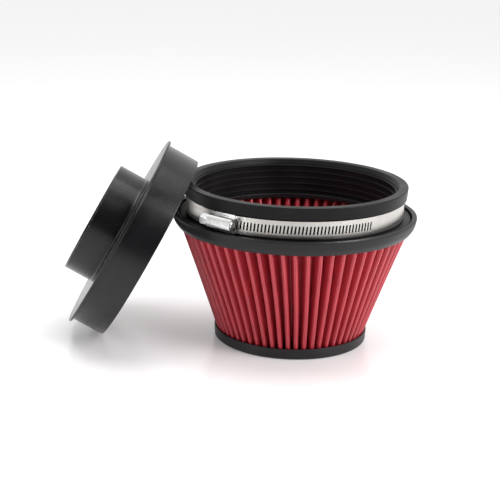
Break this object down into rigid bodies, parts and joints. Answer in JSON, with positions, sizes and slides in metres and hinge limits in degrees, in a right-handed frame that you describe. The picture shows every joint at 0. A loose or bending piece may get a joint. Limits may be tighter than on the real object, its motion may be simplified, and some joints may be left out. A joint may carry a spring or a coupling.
{
  "type": "clamp-on cone air filter",
  "caption": "Cone air filter: red pleated screen between a rubber neck and an end cap, with a worm-drive clamp round the neck and a loose stepped reducer adapter.",
  "frame": {"origin": "centre of the closed end's flat outer face", "axes": "+Z along the filter's axis, from the closed end towards the open neck; -X towards the leaning adapter; -Y towards the clamp's screw side"},
  "size_m": [0.2698, 0.1874, 0.1497],
  "materials": {
    "neck_rubber": "satin moulded rubber",
    "ring_rubber": "semi-gloss moulded rubber",
    "cap_rubber": "satin moulded rubber",
    "red_screen": "glossy red coating on woven wire",
    "cotton": "oiled red cotton gauze",
    "clip_steel": "satin",
    "band_steel": "bright rolled stainless strip",
    "clamp_steel": "polished stainless pressing",
    "screw_steel": "bright zinc-plated",
    "adapter_plastic": "glossy moulded plastic"
  },
  "bodies": {
    "filter": {"neck_flange": "neck_rubber", "upper_ring": "ring_rubber", "outer_screen": "red_screen", "cotton_gauze": "cotton", "inner_screen": "red_screen", "seam_clip": "clip_steel", "lower_cap": "cap_rubber"},
    "clamp": {"clamp_housing": "clamp_steel", "clamp_saddle": "clamp_steel"},
    "band": {"clamp_band": "band_steel"},
    "screw": {"clamp_screw": "screw_steel"},
    "adapter": {"reducer_adapter": "adapter_plastic"}
  },
  "joints": [
    {"name": "clamp_turn", "type": "hinge", "parent": "filter", "child": "clamp", "pos_m": [0, 0, 0.10655], "axis": [0, 0, 1], "continuous": true},
    {"name": "screw_turn", "type": "hinge", "parent": "clamp", "child": "screw", "pos_m": [-0.05404, -0.06917, 0.10655], "axis": [0.788, -0.6157, 0], "range_deg": [-360, 720]},
    {"name": "band_feed", "type": "hinge", "parent": "clamp", "child": "band", "pos_m": [0, 0, 0.10655], "axis": [0, 0, 1], "range_deg": [-3.69, 1.84]},
    {"name": "adapter_lift", "type": "slide", "parent": "filter", "child": "adapter", "axis": [-0.8788, 0, 0.4772], "range_m": [0, 0.15]}
  ],
  "couplings": [
    {"joint": "screw_turn", "follows": "band_feed", "ratio": -195}
  ]
}
